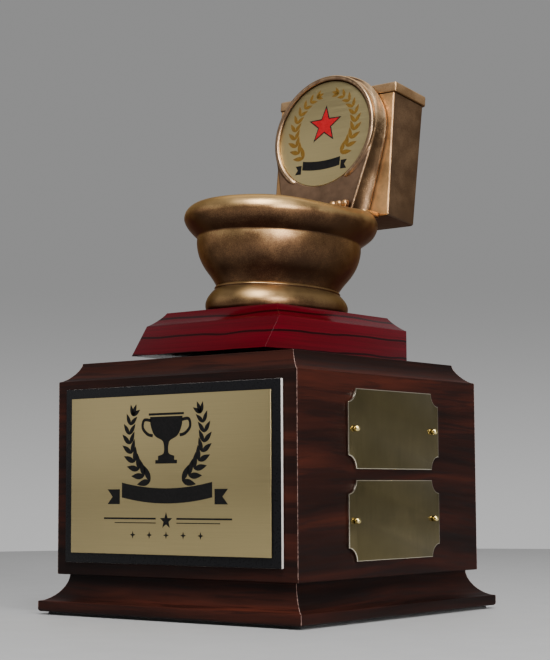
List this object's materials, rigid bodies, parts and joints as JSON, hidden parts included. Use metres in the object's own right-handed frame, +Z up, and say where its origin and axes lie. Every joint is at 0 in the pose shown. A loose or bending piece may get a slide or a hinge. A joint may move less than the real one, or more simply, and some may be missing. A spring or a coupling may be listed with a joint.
{
  "type": "toilet bowl trophy",
  "caption": "Presentation trophy: a bronze toilet with a raised seat cover and round insert, on a sloped red plinth and a square walnut box with plates for engraving.",
  "frame": {"origin": "the middle of the felt underside that the trophy stands on", "axes": "+Z up out of the felt, -Y out of the front engraving plate, +X to the right seen from the front"},
  "size_m": [0.1384, 0.1453, 0.2418],
  "materials": {
    "walnut_laminate": "satin dark walnut laminate",
    "fibreboard": "raw fibreboard",
    "rosewood_gloss": "high-gloss red rosewood lacquer with black grain",
    "antique_bronze": "cast resin, antique bronze finish with dark lows",
    "bright_copper": "cast resin, brighter copper finish",
    "brushed_gold": "brushed gold engraving plate",
    "printed_insert": "satin gold disc with a printed emblem",
    "black_plate": "gloss black",
    "brass": "polished brass",
    "zinc_steel": "zinc plated",
    "felt": "black felt"
  },
  "bodies": {
    "root": {"back_moulding": "walnut_laminate", "back_panel": "walnut_laminate", "back_plate_lower": "brass", "back_plate_upper": "brass", "bottom_board": "fibreboard", "bowl": "antique_bronze", "felt_base": "felt", "figure_screw_back": "zinc_steel", "figure_screw_front": "zinc_steel", "foot_board": "fibreboard", "foot_screw_back_left": "zinc_steel", "foot_screw_back_right": "zinc_steel", "foot_screw_front_left": "zinc_steel", "foot_screw_front_right": "zinc_steel", "front_backer": "black_plate", "front_moulding": "walnut_laminate", "front_panel": "walnut_laminate", "front_plate": "brushed_gold", "glue_block_back_left": "fibreboard", "glue_block_back_right": "fibreboard", "glue_block_front_left": "fibreboard", "glue_block_front_right": "fibreboard", "hinge_left": "antique_bronze", "hinge_right": "antique_bronze", "left_moulding": "walnut_laminate", "left_panel": "walnut_laminate", "left_plate_lower": "brass", "left_plate_upper": "brass", "pin_back_lower_a": "brass", "pin_back_lower_b": "brass", "pin_back_upper_a": "brass", "pin_back_upper_b": "brass", "pin_left_lower_a": "brass", "pin_left_lower_b": "brass", "pin_left_upper_a": "brass", "pin_left_upper_b": "brass", "pin_right_lower_a": "brass", "pin_right_lower_b": "brass", "pin_right_upper_a": "brass", "pin_right_upper_b": "brass", "plinth": "rosewood_gloss", "plinth_pad": "felt", "plinth_screw_back": "zinc_steel", "plinth_screw_front": "zinc_steel", "right_moulding": "walnut_laminate", "right_panel": "walnut_laminate", "right_plate_lower": "brass", "right_plate_upper": "brass", "round_insert": "printed_insert", "seat_cover": "antique_bronze", "tank": "antique_bronze", "tank_lid": "bright_copper", "top_board": "walnut_laminate"}
  },
  "joints": []
}
